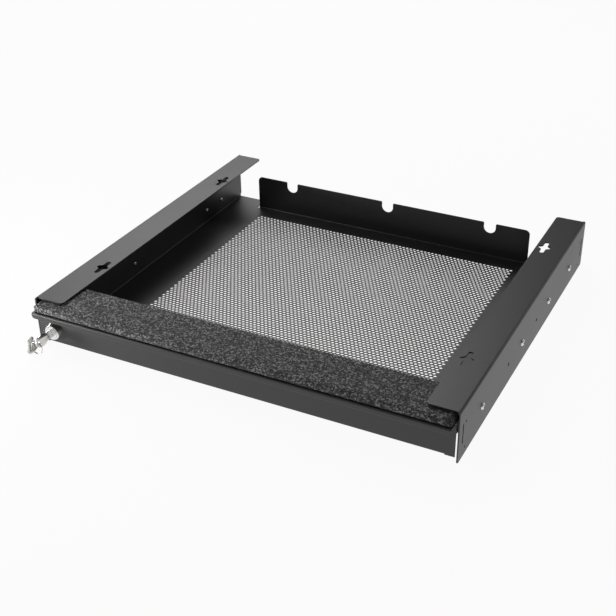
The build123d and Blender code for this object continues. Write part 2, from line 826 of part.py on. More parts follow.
def key():
    bow_middle = hole_to_bow_end - bow_length / 2
    bow = shape_at(bow_middle, 0, Ellipse(bow_length / 2, bow_height / 2))
    neck = span(bow_middle, hole_to_shoulder, -key_neck_height / 2, key_neck_height / 2)
    half = blade_height / 2
    point_start = hole_to_tip - blade_tip
    blade = make_face(
        Polyline(
            (hole_to_shoulder - blade_tip, -half),
            (point_start, -half),
            (hole_to_tip, -half + blade_tip),
            (hole_to_tip, half - blade_tip / 2),
            (point_start, half),
            (hole_to_shoulder - blade_tip, half),
            close=True,
        )
    )
    cut_zone = blade_length - 2 * blade_tip
    outline = bow + neck + blade
    for number in range(blade_cuts):
        y = hole_to_shoulder + blade_tip / 2 + cut_zone * (number + 0.5) / blade_cuts
        cut = shape_at(y, half, Rectangle(blade_cut, blade_cut, rotation=45))
        outline = outline - cut
    outline = outline - Circle(bow_hole_diameter / 2)
    return along_x(outline, -key_thickness / 2, key_thickness / 2)


key_hole_y = plug_face_y - key_shoulder_gap - hole_to_shoulder
swing = math.radians(ring_swing)
to_ring = (-math.sin(swing), -math.cos(swing))
ring_x = lock_x + (ring_seat + ring_radius) * to_ring[0]
ring_z = lock_z + (ring_seat + ring_radius) * to_ring[1]


def key_ring():
    """Split ring: two turns of wire side by side, drawn as one section with a groove between them."""
    half = ring_axial / 2
    edge = ring_wire / 2
    section = make_face(
        Polyline(
            (ring_radius - edge, half),
            (ring_radius + edge, half),
            (ring_radius + edge / 2, 0),
            (ring_radius + edge, -half),
            (ring_radius - edge, -half),
            (ring_radius - edge / 2, 0),
            close=True,
        )
    )
    ring = revolve(Plane.XY * section, axis=Axis.Y)
    return Pos(ring_x, key_hole_y, ring_z) * ring


def spare_key():
    """Second key on the ring, leaning out to the left."""
    turn = math.radians(spare_key_ring_angle)
    seat = Vector(
        ring_x - ring_radius * math.sin(turn), key_hole_y, ring_z - ring_radius * math.cos(turn)
    )
    attitude = Rot(Z=spare_key_heading) * Rot(X=-spare_key_dip) * Rot(Y=spare_key_roll)
    return Pos(*seat) * attitude * Pos(0, ring_seat, 0) * key()


save_pair("bracket", bracket())
save_pair("outer_slide", outer_slide())
save_pair("middle_slide", middle_slide())
save_pair("inner_slide", inner_slide())
save_pair("outer_ball_cage", ball_cage(outer_sheet + cage_play, outer_ball_u, outer_ball_v))
save_pair(
    "inner_ball_cage",
    ball_cage(middle_web_u + middle_sheet + 2 * cage_play, inner_ball_u, inner_ball_v),
)
save("outer_balls", ball_rows(outer_ball_u, outer_ball_v))
save("inner_balls", ball_rows(inner_ball_u, inner_ball_v))
save("slide_bumpers", both_sides([slide_bumper()]))
save("bracket_screws", bracket_screws())
save("tray_screws", tray_screws())
save("tray_floor", tray_floor() + floor_edge_strip() + mirror(floor_edge_strip(), about=Plane.YZ))
save("tray_left_side", tray_side())
save("tray_right_side", mirror(tray_side(), about=Plane.YZ))
save("tray_rear_wall", rear_wall())
save("front_panel", front_panel() - lock_end_zone())
save("front_panel_lock_end", front_panel() & lock_end_zone())
save("wrist_rest_shelf", shelf())
save("wrist_pad", wrist_pad())
save("lock_housing", lock_housing())
save("lock_nut", lock_nut())
save("lock_plug", lock_plug())
save("lock_cam", lock_cam())
save("cam_screw", cam_screw())
save("key", Pos(lock_x, key_hole_y, lock_z) * key())
save("key_ring", key_ring())
save("spare_key", spare_key())
print("cam reach", cam_reach, "ring centre", round(ring_x, 2), round(key_hole_y, 2), round(ring_z, 2))
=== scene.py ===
import bpy
import bmesh
import json
import math
from mathutils import Matrix, Vector


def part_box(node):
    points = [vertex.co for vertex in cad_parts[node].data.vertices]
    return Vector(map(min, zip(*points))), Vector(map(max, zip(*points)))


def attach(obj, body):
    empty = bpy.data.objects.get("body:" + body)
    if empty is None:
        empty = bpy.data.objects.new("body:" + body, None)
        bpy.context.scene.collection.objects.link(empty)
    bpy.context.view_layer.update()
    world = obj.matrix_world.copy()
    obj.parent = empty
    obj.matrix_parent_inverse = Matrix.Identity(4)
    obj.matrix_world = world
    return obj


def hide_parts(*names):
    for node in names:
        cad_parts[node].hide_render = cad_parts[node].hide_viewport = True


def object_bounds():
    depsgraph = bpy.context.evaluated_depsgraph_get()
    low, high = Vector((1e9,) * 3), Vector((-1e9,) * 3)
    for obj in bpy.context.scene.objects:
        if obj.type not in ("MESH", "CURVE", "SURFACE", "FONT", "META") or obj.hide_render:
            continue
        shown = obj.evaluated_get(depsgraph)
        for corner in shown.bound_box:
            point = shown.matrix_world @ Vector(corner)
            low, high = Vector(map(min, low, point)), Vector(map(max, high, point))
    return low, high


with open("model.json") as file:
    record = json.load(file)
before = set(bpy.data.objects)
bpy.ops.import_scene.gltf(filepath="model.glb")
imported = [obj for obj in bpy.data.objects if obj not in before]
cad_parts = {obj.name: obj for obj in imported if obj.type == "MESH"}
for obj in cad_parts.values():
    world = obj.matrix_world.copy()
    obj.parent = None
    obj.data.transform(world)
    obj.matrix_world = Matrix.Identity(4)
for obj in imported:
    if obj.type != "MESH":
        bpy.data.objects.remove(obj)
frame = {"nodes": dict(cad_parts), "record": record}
cad_low, cad_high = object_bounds()
nodes = frame["nodes"]

# Sizes in metres, in the drawer's own frame: X across, +Y to the rear, +Z up to the desk.

# Photograph
PHOTO_PIXELS = 616
CAMERA_PLACE = (0.50783, -1.02783, 0.60969)
CAMERA_AZIMUTH = 26.16
CAMERA_ELEVATION = 30.65
CAMERA_ROLL = -0.24
FOCAL_PIXELS = 1101.0
CENTRE_PIXEL_X = 329.3
SENSOR_WIDTH = 36.0
CAMERA_CLIP_END = 20.0

# Studio
FLOOR_SIZE = 6.0
FLOOR_GREY = 0.80
FLOOR_GLOW = 0.94
ROOM_GREY = 0.75
ROOM_STRENGTH = 0.26

# Soft boxes: place, aim, width and power
LAMPS = {
    "front_light": ((-0.60, -0.48, -0.03), (-0.20, -0.24, -0.04), 0.16, 5.5),
    "lip_light": ((-0.70, -0.88, 0.82), (-0.10, -0.24, -0.02), 0.30, 1.0),
    "top_light": ((-0.52, -0.14, 0.42), (-0.28, -0.22, -0.01), 0.20, 1.1),
    "fold_light": ((0.85, 1.20, 0.62), (-0.15, 0.00, -0.03), 0.30, 1.5),
    "rear_light": ((-0.80, 1.12, 1.08), (-0.06, -0.10, 0.00), 1.10, 11.4),
}

# Noises of the finishes: scale, detail and roughness
COAT_PEEL = (1100.0, 3.0, 0.6)
COAT_CLOUD = (9.0, 3.0, 0.5)
COAT_GRAIN = (2600.0, 1.0, 0.5)
FOAM_FIBRE = (1500.0, 2.0, 0.7)
PLATE_STREAK = (1.0, 3.0, 0.6)
PLATE_MOTTLE = (160.0, 3.0, 0.5)
POLISH_SMEAR = (220.0, 4.0, 0.6)
POLISH_PIT = (2400.0, 1.0, 0.5)
RUBBER_SKIN = (1200.0, 2.0, 0.6)

# Bumps of the finishes: strength and height
COAT_BUMP = (0.25, 0.0001)
FOAM_BUMP = (0.6, 0.0003)
PLATE_BUMP = (0.12, 0.0001)
POLISH_BUMP = (0.05, 0.00005)
RUBBER_BUMP = (0.25, 0.0001)

# Powder coat
COAT_DARK = (0.007, 0.007, 0.0075)
COAT_LIGHT = (0.022, 0.022, 0.023)
COAT_ROUGHNESS = 0.37
COAT_CLOUD_ROUGHNESS = 0.06
COAT_GRAIN_ROUGHNESS = 0.05
COAT_SPECULAR = 0.65

# Foam: a ramp is a list of places and levels
FOAM_DARK = (0.010, 0.010, 0.010)
FOAM_LIGHT = (0.27, 0.27, 0.275)
FOAM_SPECK_SCALE = 700.0
FOAM_SPECK_RAMP = ((0.0, 0.0), (0.5, 0.12), (0.78, 0.42), (0.9, 1.0))
FOAM_PORE_RAMP = ((0.1, 0.0), (0.6, 1.0))
FOAM_FIBRE_RELIEF = 0.6
FOAM_ROUGHNESS = 0.66
FOAM_FIBRE_ROUGHNESS = 0.2
FOAM_SPECULAR = 0.35

# Plated sheet: colour, roughness and depth of the streaks
ZINC = ((0.62, 0.63, 0.66), 0.22, 0.2)
PLAIN_STRIP = ((0.42, 0.41, 0.40), 0.34, 0.25)
PLATE_STRETCH = (900.0, 14.0, 900.0)
PLATE_STREAK_GAIN = 1.6
PLATE_MOTTLE_ROUGHNESS = 0.14

# Bright plate: colour and roughness
BALL_STEEL = ((0.78, 0.78, 0.79), 0.06)
SCREW_NICKEL = ((0.72, 0.72, 0.73), 0.18)
LOCK_CHROME = ((0.86, 0.86, 0.87), 0.08)
KEY_NICKEL = ((0.66, 0.65, 0.62), 0.2)
RING_NICKEL = ((0.62, 0.62, 0.63), 0.14)
POLISH_SMEAR_SHADE = 0.86
POLISH_SMEAR_ROUGHNESS = 0.1

# Rubber
RUBBER_DARK = (0.012, 0.012, 0.012)
RUBBER_LIGHT = (0.028, 0.028, 0.028)
RUBBER_ROUGHNESS = 0.55
RUBBER_SKIN_ROUGHNESS = 0.2

# Meshes
MERGE_DISTANCE = 1e-7
SMOOTH_ANGLE = 35.0
EASED_EDGE_STEPS = 1

# Perforation of the floor
HOLE_DIAMETER = 0.004
HOLE_PITCH = 0.005
HOLE_SIDES = 12
CELL_SIDES = 6
HOLE_COLUMNS = 72
HOLE_ROWS = 74
FIRST_HOLE_X = -0.1775
LAST_HOLE_Y = 0.154
ROW_STEP = HOLE_PITCH * math.sqrt(3) / 2
CELL_MERGE = HOLE_PITCH / 500
CORNER_MERGE_SHARE = 0.01
RIM_TOLERANCE = 1e-6
UPRIGHT_NORMAL = 0.5

# Wrist pad
PAD_CROWN = 0.0006
PAD_ROUND = 0.0046
PAD_FOOT_ROUND = 0.0036
PAD_FOOT_STEPS = 5
PAD_STEPS_ALONG = 260
PAD_STEPS_ACROSS = 26
PAD_ROUND_STEPS = 8
PAD_WAVE = 0.00018
PAD_WAVE_ALONG = 41.0
PAD_WAVE_START = 1.3
PAD_SKEW_ALONG = 17.0
PAD_SKEW_ACROSS = 60.0
PAD_SMOOTH_ANGLE = 50.0

# Screws
SCREW_SIDES = 32
SCREW_RINGS = 20
BRACKET_HEAD = 0.008
BRACKET_HEAD_HEIGHT = 0.0025
BRACKET_SHANK = 0.0038
TRAY_HEAD = 0.005
TRAY_HEAD_HEIGHT = 0.0016
TRAY_SHANK = 0.0028
RECESS_WIDTH_SHARE = 0.15
RECESS_LENGTH_SHARE = 0.54
RECESS_DEPTH_SHARE = 0.6
BRACKET_SHANK_LENGTH = 0.0026
TRAY_SHANK_LENGTH = 0.003
TRAY_SHEET = 0.001
BRACKET_SCREW_Y = (-0.1575, -0.0265, 0.074, 0.162)
TRAY_SCREW_Y = (-0.059, 0.110, 0.148)

# Balls of the slides
BALL_RADIUS = 0.0015
BALL_SIDES = 20
BALL_RINGS = 12
BALL_Y = (-0.0815, -0.025, 0.0315, 0.088)

# Key ring
RING_RADIUS = 0.0074
RING_WIRE_RADIUS = 0.0004
RING_STEPS_PER_TURN = 72
RING_SEAM = 0.08
RING_WIRE_STEPS = 4
RING_SMOOTH_ANGLE = 60.0

# Keys
KEY_THICKNESS = 0.002
KEY_EASE = 0.0003
BOW_LENGTH = 0.021
BOW_HEIGHT = 0.015
BOW_HOLE_RADIUS = 0.0025
BOW_HOLE_INSET = 0.004
BOW_STEPS = 40
NECK_LENGTH = 0.005
NECK_HEIGHT = 0.0096
BLADE_LENGTH = 0.014
BLADE_HEIGHT = 0.008
BLADE_TIP = 0.003
BLADE_CUTS = (0.00283, 0.0055, 0.00817)
BLADE_CUT_DEPTH = 0.00127
GROOVE_DEPTH = 0.0005
GROOVE_HEIGHT = 0.0016
GROOVE_DROP = 0.0012
SPARE_RING_ANGLE = 50.0
SPARE_HEADING = 46.2
SPARE_DIP = 9.2
SPARE_ROLL = 52.0
SPARE_SEAT = 0.0009

# Lock housing
HEAD_TAPER = 0.0012
HEAD_EASE = 0.0005
HEAD_EASE_SHARE = 0.3
WIDE_BORE_RADIUS = 0.00705
WIDE_BORE_DEPTH = 0.0015
BORE_RADIUS = 0.00605
BARREL_RADIUS = 0.008
BARREL_HALF_FLATS = 0.007
THREAD_PITCH = 0.001
THREAD_DEPTH = 0.00035
THREAD_START = 1.5
THREAD_RUNOUT = 2
LOCK_STEPS = 72


class Wire:
    """A socket that takes part in sums, and adds a Math node for each."""

    def __init__(self, graph, socket):
        self.graph = graph
        self.socket = socket

    def __add__(self, other):
        return self.graph.maths("ADD", self, other)

    __radd__ = __add__

    def __sub__(self, other):
        return self.graph.maths("SUBTRACT", self, other)

    def __mul__(self, other):
        return self.graph.maths("MULTIPLY", self, other)

    __rmul__ = __mul__

    def __truediv__(self, other):
        return self.graph.maths("DIVIDE", self, other)


class Graph:
    """A node tree under construction, for a material, the world or Geometry Nodes."""

    def __init__(self, tree):
        self.tree = tree
        self.tree.nodes.clear()

    def add(self, kind, settings=None, values=None):
        """Adds a node: its settings first, then the values or links of its sockets."""
        node = self.tree.nodes.new(kind)
        for name, value in (settings or {}).items():
            if name == "stops":
                self.set_stops(node.color_ramp, value)
            else:
                setattr(node, name, value)
        for name, value in (values or {}).items():
            self.feed(node.inputs[name], value)
        return node

    def set_stops(self, ramp, stops):
        """Places and grey levels of a colour ramp."""
        while len(ramp.elements) < len(stops):
            ramp.elements.new(0.5)
        for element, (place, level) in zip(ramp.elements, stops):
            element.position = place
            element.color = grey(level)

    def feed(self, socket, value):
        """Links wires to a socket, or sets its value."""
        several = value if isinstance(value, list) else [value]
        for one in several:
            if isinstance(one, Wire):
                self.tree.links.new(one.socket, socket)
            else:
                socket.default_value = one

    def wire(self, kind, settings=None, values=None, output=0):
        """Adds a node and gives one of its outputs."""
        return Wire(self, self.add(kind, settings, values).outputs[output])

    def maths(self, operation, *values):
        return self.wire("ShaderNodeMath", {"operation": operation}, dict(enumerate(values)))

    def vector(self, x, y, z):
        return self.wire("ShaderNodeCombineXYZ", {}, {"X": x, "Y": y, "Z": z})


def grey(level):
    return (level, level, level, 1.0)


# Materials
def new_material(name):
    """Material, and the graph that fills it."""
    material = bpy.data.materials.new(name)
    material.use_nodes = True
    return material, Graph(material.node_tree)


def object_place(graph):
    """Place on the object, which every texture follows."""
    return graph.wire("ShaderNodeTexCoord", output="Object")


def noise(graph, place, scale, detail, roughness):
    values = {"Vector": place, "Scale": scale, "Detail": detail, "Roughness": roughness}
    return graph.wire("ShaderNodeTexNoise", {}, values, "Fac")


def ramp(graph, value, stops):
    return graph.wire("ShaderNodeValToRGB", {"stops": stops}, {"Fac": value})


def mixed_colour(graph, share, first, second):
    """Blend of two colours of three channels by a share."""
    colours = {"Factor": share, 6: (*first, 1.0), 7: (*second, 1.0)}
    return graph.wire("ShaderNodeMix", {"data_type": "RGBA"}, colours, 2)


def bump(graph, height, strength, distance):
    values = {"Height": height, "Strength": strength, "Distance": distance}
    return graph.wire("ShaderNodeBump", {}, values)


def finish_surface(graph, values):
    """The surface's shader and the material's output."""
    shader = graph.wire("ShaderNodeBsdfPrincipled", {}, values)
    graph.add("ShaderNodeOutputMaterial", {}, {"Surface": shader})


def powder_coat():
    """Matt black powder coat: a fine orange peel, a little uneven in gloss."""
    material, graph = new_material("black_powder_coat")
    place = object_place(graph)
    peel = noise(graph, place, *COAT_PEEL)
    cloud = noise(graph, place, *COAT_CLOUD)
    grain = noise(graph, place, *COAT_GRAIN)
    finish_surface(
        graph,
        {
            "Base Color": mixed_colour(graph, grain, COAT_DARK, COAT_LIGHT),
            "Roughness": COAT_ROUGHNESS + COAT_CLOUD_ROUGHNESS * cloud + COAT_GRAIN_ROUGHNESS * grain,
            "Specular IOR Level": COAT_SPECULAR,
            "Normal": bump(graph, peel, *COAT_BUMP),
        },
    )
    return material


def foam():
    """Closed cell foam: dark grey with light and dark specks and an open-pored skin."""
    material, graph = new_material("speckled_foam")
    place = object_place(graph)
    values = {"Vector": place, "Scale": FOAM_SPECK_SCALE}
    specks = graph.add("ShaderNodeTexVoronoi", {"feature": "F1"}, values)
    chance = graph.wire("ShaderNodeSeparateColor", {}, {"Color": Wire(graph, specks.outputs["Color"])})
    fibre = noise(graph, place, *FOAM_FIBRE)
    shade = ramp(graph, chance, FOAM_SPECK_RAMP)
    pores = ramp(graph, Wire(graph, specks.outputs["Distance"]), FOAM_PORE_RAMP)
    finish_surface(
        graph,
        {
            "Base Color": mixed_colour(graph, shade, FOAM_DARK, FOAM_LIGHT),
            "Roughness": FOAM_ROUGHNESS + FOAM_FIBRE_ROUGHNESS * fibre,
            "Normal": bump(graph, pores + FOAM_FIBRE_RELIEF * fibre, *FOAM_BUMP),
            "Specular IOR Level": FOAM_SPECULAR,
        },
    )
    return material


def plated_steel(name, colour, roughness, streak):
    """Plated sheet: faint streaks along the drawer and a fine mottle."""
    material, graph = new_material(name)
    place = object_place(graph)
    stretched = graph.wire("ShaderNodeMapping", {}, {"Vector": place, "Scale": PLATE_STRETCH})
    streaks = noise(graph, stretched, *PLATE_STREAK)
    mottle = noise(graph, place, *PLATE_MOTTLE)
    dark = tuple(channel * (1 - streak) for channel in colour)
    finish_surface(
        graph,
        {
            "Base Color": mixed_colour(graph, PLATE_STREAK_GAIN * streaks * mottle, dark, colour),
            "Metallic": 1.0,
            "Roughness": roughness + PLATE_MOTTLE_ROUGHNESS * mottle,
            "Normal": bump(graph, streaks, *PLATE_BUMP),
        },
    )
    return material


def polished(name, colour, roughness):
    """Bright plate with faint wiping marks."""
    material, graph = new_material(name)
    place = object_place(graph)
    smears = noise(graph, place, *POLISH_SMEAR)
    pits = noise(graph, place, *POLISH_PIT)
    dark = tuple(channel * POLISH_SMEAR_SHADE for channel in colour)
    finish_surface(
        graph,
        {
            "Base Color": mixed_colour(graph, smears, dark, colour),
            "Metallic": 1.0,
            "Roughness": roughness + POLISH_SMEAR_ROUGHNESS * smears,
            "Normal": bump(graph, pits, *POLISH_BUMP),
        },
    )
    return material


def rubber():
    """Moulded rubber with a matt, grainy skin."""
    material, graph = new_material("moulded_rubber")
    skin = noise(graph, object_place(graph), *RUBBER_SKIN)
    finish_surface(
        graph,
        {
            "Base Color": mixed_colour(graph, skin, RUBBER_DARK, RUBBER_LIGHT),
            "Roughness": RUBBER_ROUGHNESS + RUBBER_SKIN_ROUGHNESS * skin,
            "Normal": bump(graph, skin, *RUBBER_BUMP),
        },
    )
    return material


# Mesh helpers
def link(name, data, material=None):
    """New object in the scene, with its material."""
    piece = bpy.data.objects.new(name, data)
    bpy.context.scene.collection.objects.link(piece)
    if material is not None:
        data.materials.clear()
        data.materials.append(material)
    return piece


def mesh_from(name, build):
    """Mesh made by a function that fills a bmesh."""
    work = bmesh.new()
    build(work)
    mesh = bpy.data.meshes.new(name)
    work.to_mesh(mesh)
    work.free()
    return mesh


def evaluated_mesh(carrier):
    """Plain mesh of an object with its modifiers or its curve's thickness, and the object removed."""
    graph = bpy.context.evaluated_depsgraph_get()
    mesh = bpy.data.meshes.new_from_object(carrier.evaluated_get(graph))
    bpy.data.objects.remove(carrier)
    return mesh


def closed_shell(mesh):
    """Merges doubles and turns the faces outwards."""
    work = bmesh.new()
    work.from_mesh(mesh)
    bmesh.ops.remove_doubles(work, verts=work.verts[:], dist=MERGE_DISTANCE)
    bmesh.ops.recalc_face_normals(work, faces=work.faces[:])
    work.to_mesh(mesh)
    work.free()


def smooth(mesh, angle=SMOOTH_ANGLE):
    """Smooth shading with sharp edges kept."""
    for face in mesh.polygons:
        face.use_smooth = True
    mesh.set_sharp_from_angle(angle=math.radians(angle))


def dress(piece, slot, body, *replaced):
    """Parents a new piece to the empty of the body it moves with and hides the CAD parts it stands for;
    the slot is not used.
    """
    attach(piece, body)
    if replaced:
        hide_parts(*replaced)
    return piece


# Geometry Nodes
def new_tree(name, inputs):
    """Tree with named inputs: each is (name, socket kind, default)."""
    tree = bpy.data.node_groups.new(name, "GeometryNodeTree")
    graph = Graph(tree)
    tree.interface.new_socket("Geometry", in_out="INPUT", socket_type="NodeSocketGeometry")
    for label, kind, default in inputs + [("Material", "Material", None)]:
        socket = tree.interface.new_socket(label, in_out="INPUT", socket_type="NodeSocket" + kind)
        if default is not None:
            socket.default_value = default
    tree.interface.new_socket("Geometry", in_out="OUTPUT", socket_type="NodeSocketGeometry")
    given = graph.add("NodeGroupInput")
    return tree, graph, {socket.name: Wire(graph, socket) for socket in given.outputs if socket.name}


def finish_tree(graph, given, geometry):
    """Realize Instances, Set Material and the tree's output."""
    real = graph.wire("GeometryNodeRealizeInstances", {}, {"Geometry": geometry})
    painted = graph.wire(
        "GeometryNodeSetMaterial", {}, {"Geometry": real, "Material": given["Material"]}
    )
    graph.add("NodeGroupOutput", {}, {"Geometry": painted})


def moved(graph, geometry, **changes):
    """Geometry with another Translation, Rotation or Scale."""
    return graph.wire("GeometryNodeTransform", {}, {"Geometry": geometry, **changes})


def grown(name, tree, inputs, material, points=()):
    """Runs a tree on an object that holds the given points, and keeps the result as a plain mesh."""
    base = bpy.data.meshes.new(name + "_places")
    base.from_pydata([tuple(point) for point in points], [], [])
    carrier = link(name + "_carrier", base)
    modifier = carrier.modifiers.new("shape", "NODES")
    modifier.node_group = tree
    identifiers = {
        item.name: item.identifier
        for item in tree.interface.items_tree
        if item.item_type == "SOCKET" and item.in_out == "INPUT"
    }
    for label, value in {**inputs, "Material": material}.items():
        modifier[identifiers[label]] = value
    mesh = evaluated_mesh(carrier)
    mesh.name = name
    return link(name, mesh, material)


# Perforated floor
def perforation_tree():
    """Staggered rows of round holes in a closed sheet, one six-sided cell for each hole."""
    tree, graph, given = new_tree(
        "perforated_sheet",
        [
            ("Hole Diameter", "Float", HOLE_DIAMETER),
            ("Hole Sides", "Int", HOLE_SIDES),
            ("Pitch", "Float", HOLE_PITCH),
            ("Columns", "Int", HOLE_COLUMNS),
            ("Rows", "Int", HOLE_ROWS),
            ("First Row", "Int", 0),
            ("First Hole", "Vector", (0.0, 0.0, 0.0)),
            ("Thickness", "Float", TRAY_SHEET),
        ],
    )
    pitch = given["Pitch"]
    hexagon = graph.wire(
        "GeometryNodeCurvePrimitiveCircle",
        {},
        {"Resolution": CELL_SIDES, "Radius": pitch / math.sqrt(3)},
    )
    hole = graph.wire(
        "GeometryNodeCurvePrimitiveCircle",
        {},
        {"Resolution": given["Hole Sides"], "Radius": given["Hole Diameter"] / 2.0},
    )
    turned = moved(graph, hexagon, Rotation=(0.0, 0.0, math.pi / CELL_SIDES))
    both = graph.wire("GeometryNodeJoinGeometry", {}, {"Geometry": [turned, hole]})
    cell = graph.wire("GeometryNodeFillCurve", {}, {"Curve": both})
    count = given["Columns"] * given["Rows"]
    points = graph.wire("GeometryNodePoints", {}, {"Count": count})
    index = graph.wire("GeometryNodeInputIndex")
    row = graph.maths("FLOOR", (index + 0.5) / given["Columns"])
    column = index - row * given["Columns"]
    sheet_row = row + given["First Row"]
    shift = graph.maths("MODULO", sheet_row, 2.0) * 0.5
    place = graph.vector((column + shift) * pitch, sheet_row * pitch * (math.sqrt(3) / 2), 0.0)
    placed = graph.wire(
        "ShaderNodeVectorMath", {"operation": "ADD"}, {0: place, 1: given["First Hole"]}
    )
    spread = graph.wire("GeometryNodeSetPosition", {}, {"Geometry": points, "Position": placed})
    copies = graph.wire("GeometryNodeInstanceOnPoints", {}, {"Points": spread, "Instance": cell})
    real = graph.wire("GeometryNodeRealizeInstances", {}, {"Geometry": copies})
    sheet = graph.wire(
        "GeometryNodeMergeByDistance", {}, {"Geometry": real, "Distance": CELL_MERGE}
    )
    raised = graph.wire(
        "GeometryNodeExtrudeMesh",
        {"mode": "FACES"},
        {
            "Mesh": sheet,
            "Offset": graph.vector(0.0, 0.0, given["Thickness"]),
            "Offset Scale": 1.0,
            "Individual": False,
        },
    )
    underside = graph.wire("GeometryNodeFlipFaces", {}, {"Mesh": sheet})
    joined = graph.wire("GeometryNodeJoinGeometry", {}, {"Geometry": [raised, underside]})
    closed = graph.wire(
        "GeometryNodeMergeByDistance", {}, {"Geometry": joined, "Distance": CELL_MERGE}
    )
    finish_tree(graph, given, closed)
    return tree


def field_edge(first_hole):
    """Zigzag outline of the perforated field, anticlockwise, by its cells' corners in degrees."""
    corner_radius = HOLE_PITCH / math.sqrt(3)

    def corners(column, row, turns):
        x = first_hole[0] + (column + 0.5 * (row % 2)) * HOLE_PITCH
        y = first_hole[1] + row * ROW_STEP
        angles = [math.radians(degrees) for degrees in turns]
        return [(x + corner_radius * math.cos(a), y + corner_radius * math.sin(a)) for a in angles]

    last_column = HOLE_COLUMNS - 1
    last_row = HOLE_ROWS - 1
    path = []
    for column in range(HOLE_COLUMNS):
        path += corners(column, 0, (210, 270, 330))
    for row in range(HOLE_ROWS):
        path += corners(last_column, row, (270, 330, 30, 90) if row % 2 else (330, 30))
    for column in reversed(range(HOLE_COLUMNS)):
        path += corners(column, last_row, (30, 90, 150))
    for row in reversed(range(HOLE_ROWS)):
        path += corners(0, row, (150, 210) if row % 2 else (90, 150, 210, 270))
    kept = []
    for point in path:
        near = kept[-3:] + kept[:1]
        if not any(math.dist(point, other) < corner_radius * CORNER_MERGE_SHARE for other in near):
            kept.append(point)
    return kept


def floor_outline(node):
    """Outer edge of the CAD floor, from the rim of its top face."""
    work = bmesh.new()
    work.from_mesh(nodes[node].data)
    bmesh.ops.remove_doubles(work, verts=work.verts[:], dist=RIM_TOLERANCE)
    work.verts.index_update()
    top = max(vertex.co.z for vertex in work.verts)
    beside = {}
    for edge in work.edges:
        level = all(abs(vertex.co.z - top) < RIM_TOLERANCE for vertex in edge.verts)
        upright = [abs(face.normal.z) < UPRIGHT_NORMAL for face in edge.link_faces]
        if level and any(upright) and not all(upright):
            one, other = edge.verts
            beside.setdefault(one.index, []).append(other.index)
            beside.setdefault(other.index, []).append(one.index)
    places = {vertex.index: (vertex.co.x, vertex.co.y) for vertex in work.verts}
    work.free()
    start = min(beside, key=lambda index: places[index])
    loop = [start]
    before = beside[start][1]
    while True:
        here = loop[-1]
        after = next(index for index in beside[here] if index != before)
        if after == start:
            return [places[index] for index in loop]
        before = here
        loop.append(after)


def plate_mesh(name, paths, thickness, ease=0.0):
    """Closed flat plate between nested outlines, about the plane z = 0, with eased edges."""
    curve = bpy.data.curves.new(name + "_outline", "CURVE")
    curve.dimensions = "2D"
    curve.fill_mode = "BOTH"
    curve.extrude = thickness / 2 - ease
    curve.bevel_depth = ease
    curve.bevel_resolution = EASED_EDGE_STEPS
    curve.offset = -ease
    for path in paths:
        spline = curve.splines.new("POLY")
        spline.points.add(len(path) - 1)
        for point, place in zip(spline.points, path):
            point.co = (place[0], place[1], 0.0, 1.0)
        spline.use_cyclic_u = True
    mesh = evaluated_mesh(link(name + "_curve", curve))
    mesh.name = name
    closed_shell(mesh)
    return mesh


def perforated_floor(material):
    """The tray's floor with all its round holes: a plain border and the field in two halves."""
    low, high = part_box("tray_floor")
    first_hole = (FIRST_HOLE_X, LAST_HOLE_Y - (HOLE_ROWS - 1) * ROW_STEP, low[2])
    tree = perforation_tree()
    half = HOLE_ROWS // 2
    pieces = []
    for name, first_row in (("floor_holes_front", 0), ("floor_holes_rear", half)):
        sizes = {
            "Rows": half,
            "First Row": first_row,
            "First Hole": first_hole,
            "Thickness": high[2] - low[2],
        }
        pieces.append(grown(name, tree, sizes, material))
    paths = [floor_outline("tray_floor"), field_edge(first_hole)]
    border = plate_mesh("floor_border", paths, high[2] - low[2])
    border.transform(Matrix.Translation((0, 0, (high[2] + low[2]) / 2)))
    pieces.append(link("floor_border", border, material))
    for piece in pieces:
        dress(piece, "black_steel", "drawer", "tray_floor")


# Wrist pad
def pad_profile(front, rear, bottom, top):
    """Section of the pad in Y and Z, from the front foot over the top to the rear foot."""
    edge = top - PAD_CROWN
    corner = []
    for step in range(PAD_FOOT_STEPS + 1):
        angle = math.pi / 2 * step / PAD_FOOT_STEPS
        rise = PAD_FOOT_ROUND * (1 - math.cos(angle))
        corner.append((PAD_FOOT_ROUND * (1 - math.sin(angle)), bottom + rise))
    for step in range(PAD_ROUND_STEPS + 1):
        angle = math.pi / 2 * step / PAD_ROUND_STEPS
        corner.append((PAD_ROUND * (1 - math.cos(angle)), edge - PAD_ROUND * (1 - math.sin(angle))))
    points = [(front + inset, z) for inset, z in corner]
    width = rear - front - 2 * PAD_ROUND
    for step in range(1, PAD_STEPS_ACROSS):
        share = step / PAD_STEPS_ACROSS
        points.append((front + PAD_ROUND + width * share, edge + PAD_CROWN * math.sin(math.pi * share)))
    return points + [(rear - inset, z) for inset, z in reversed(corner)]


